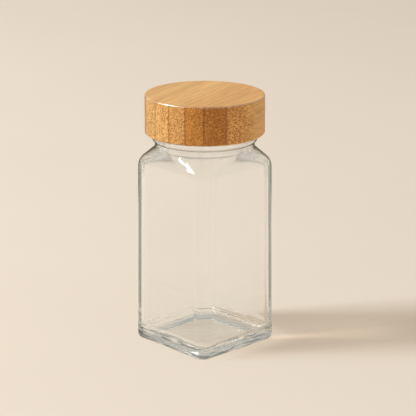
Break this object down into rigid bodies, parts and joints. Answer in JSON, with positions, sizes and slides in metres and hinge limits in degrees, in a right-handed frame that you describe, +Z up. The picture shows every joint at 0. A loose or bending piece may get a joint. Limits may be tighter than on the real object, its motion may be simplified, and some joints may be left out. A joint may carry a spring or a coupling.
{
  "type": "spice jar",
  "caption": "Square clear glass spice jar with a screw cap of turned laminated bamboo, a threaded inner cap, a foam seal and a perforated shaker insert.",
  "frame": {"origin": "centre of the base, on the surface that the jar stands on", "axes": "+Z up through the neck and cap; +X and +Y square to the glass flats"},
  "size_m": [0.048, 0.048, 0.1029],
  "materials": {
    "clear_glass": "clear, smooth moulded",
    "shaker_plastic": "smooth moulded",
    "seal_foam": "fine closed-cell foam",
    "cap_plastic": "satin moulded",
    "bamboo": "satin, turned and sanded, clear-oiled"
  },
  "bodies": {
    "jar": {"glass_jar": "clear_glass", "shaker_insert": "shaker_plastic"},
    "seal": {"seal_disc": "seal_foam"},
    "cap": {"inner_cap": "cap_plastic", "bamboo_strip_1": "bamboo", "bamboo_strip_2": "bamboo", "bamboo_strip_3": "bamboo", "bamboo_strip_4": "bamboo", "bamboo_strip_5": "bamboo", "bamboo_strip_6": "bamboo", "bamboo_strip_7": "bamboo"}
  },
  "joints": [
    {"name": "cap_rise", "type": "slide", "parent": "jar", "child": "seal", "axis": [0, 0, 1], "range_m": [0, 0.0127]},
    {"name": "cap_turn", "type": "hinge", "parent": "seal", "child": "cap", "pos_m": [0, 0, 0.0983], "axis": [0, 0, 1], "range_deg": [0, 1080]}
  ],
  "couplings": [
    {"joint": "cap_rise", "follows": "cap_turn", "m_per_rad": 0.00067322}
  ]
}
